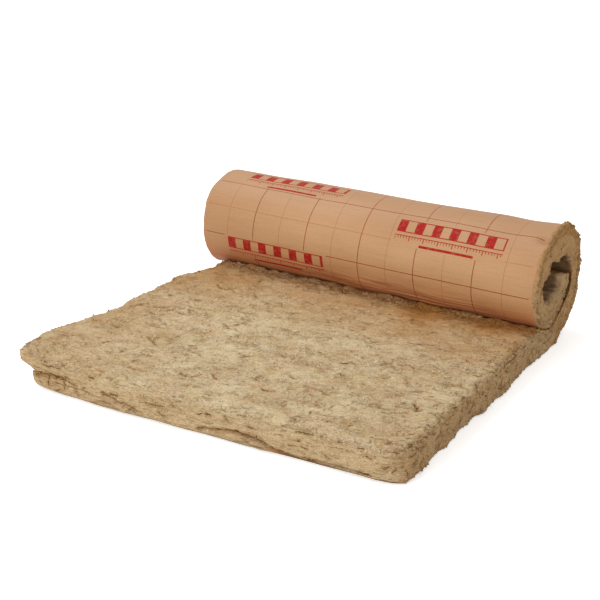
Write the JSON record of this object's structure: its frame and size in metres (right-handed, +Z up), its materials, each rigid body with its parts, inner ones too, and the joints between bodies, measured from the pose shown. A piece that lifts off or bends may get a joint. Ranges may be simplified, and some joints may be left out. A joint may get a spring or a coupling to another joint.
{
  "type": "insulation roll",
  "caption": "Kraft-faced mineral-wool insulation blanket, loosely rolled on itself, with its free end laid out flat, wool side up.",
  "frame": {"origin": "middle of the underside's footprint, on the floor", "axes": "+Z up, +X along the roll's axis, +Y from the laid front edge towards the roll"},
  "size_m": [1.222, 1.25, 0.3843],
  "materials": {
    "wool": "matte",
    "kraft_paper": "satin"
  },
  "bodies": {
    "root": {"wool_blanket": "wool", "kraft_facing": "kraft_paper"}
  },
  "joints": []
}
